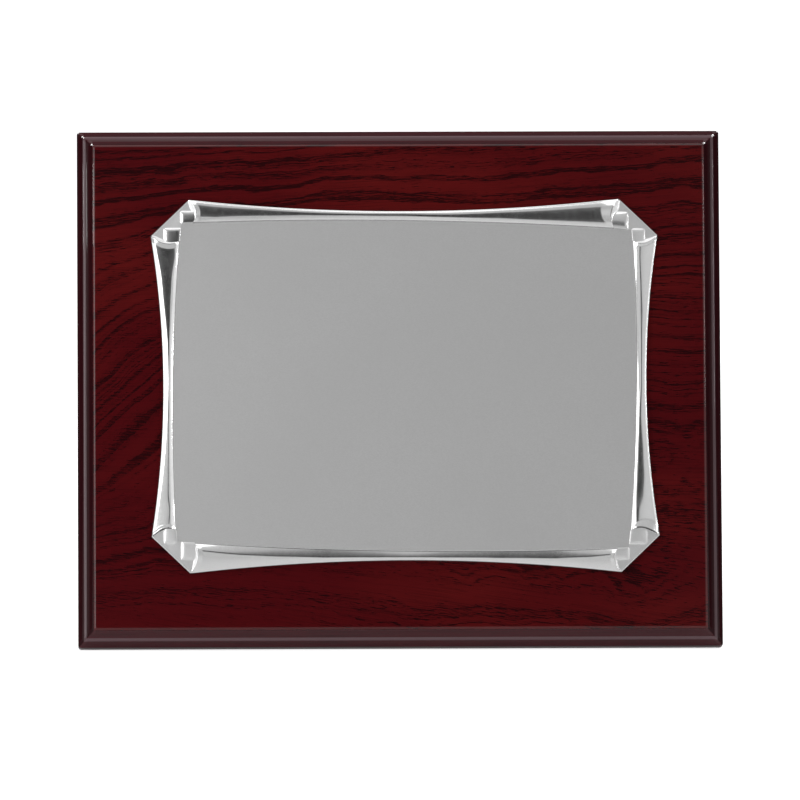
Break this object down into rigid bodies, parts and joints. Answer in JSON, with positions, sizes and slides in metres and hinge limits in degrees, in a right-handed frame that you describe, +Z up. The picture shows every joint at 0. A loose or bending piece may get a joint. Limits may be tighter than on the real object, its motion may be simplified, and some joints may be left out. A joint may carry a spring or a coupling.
{
  "type": "wooden award plaque",
  "caption": "Lacquered wooden award plaque with a moulded edge, a scroll-bordered metal engraving plate, a folding easel strut and a swinging hanging ring on its back.",
  "frame": {"origin": "centre of the bounding box, on the surface the plaque stands on: the board's back bottom edge and the strut's foot are at z = 0", "axes": "+X to the viewer's right along the board's width, +Z up, the face looks towards -Y and leans back 12 degrees from upright"},
  "size_m": [0.25, 0.0694, 0.1989],
  "materials": {
    "edge_lacquer": "dark maroon lacquer, high gloss",
    "mahogany_veneer": "red mahogany veneer with near-black grain under high-gloss lacquer",
    "black_velvet": "short-pile black velvet",
    "plate_metal": "stamped, fine satin field with bright polished scroll border",
    "foam_tape": "white foam tape, matte",
    "nickel_hardware": "nickel plated, slightly brushed",
    "screw_steel": "zinc plated",
    "strut_board": "bare hardboard edge, matte"
  },
  "bodies": {
    "board": {"board_core": "edge_lacquer", "face_veneer": "mahogany_veneer", "back_velvet": "black_velvet", "scroll_plate": "plate_metal", "tape_strip_top": "foam_tape", "tape_strip_bottom": "foam_tape", "tape_strip_left": "foam_tape", "tape_strip_right": "foam_tape", "hinge_upper_leaf": "nickel_hardware", "hinge_pin": "nickel_hardware", "hinge_screw_left": "screw_steel", "hinge_screw_right": "screw_steel", "hanger_strap": "nickel_hardware", "hanger_screw": "screw_steel"},
    "strut": {"hinge_lower_leaf": "nickel_hardware", "strut_core": "strut_board", "strut_velvet_inner": "black_velvet", "strut_velvet_outer": "black_velvet", "strut_rivet_left": "nickel_hardware", "strut_rivet_right": "nickel_hardware"},
    "ring": {"hanger_ring": "nickel_hardware"}
  },
  "joints": [
    {"name": "strut_hinge", "type": "hinge", "parent": "board", "child": "strut", "pos_m": [0, 0.00948, 0.12714], "axis": [1, 0, 0], "range_deg": [-22, 0]},
    {"name": "ring_swing", "type": "hinge", "parent": "board", "child": "ring", "pos_m": [0, 0.01726, 0.17047], "axis": [1, 0, 0], "range_deg": [-12, 168]}
  ]
}
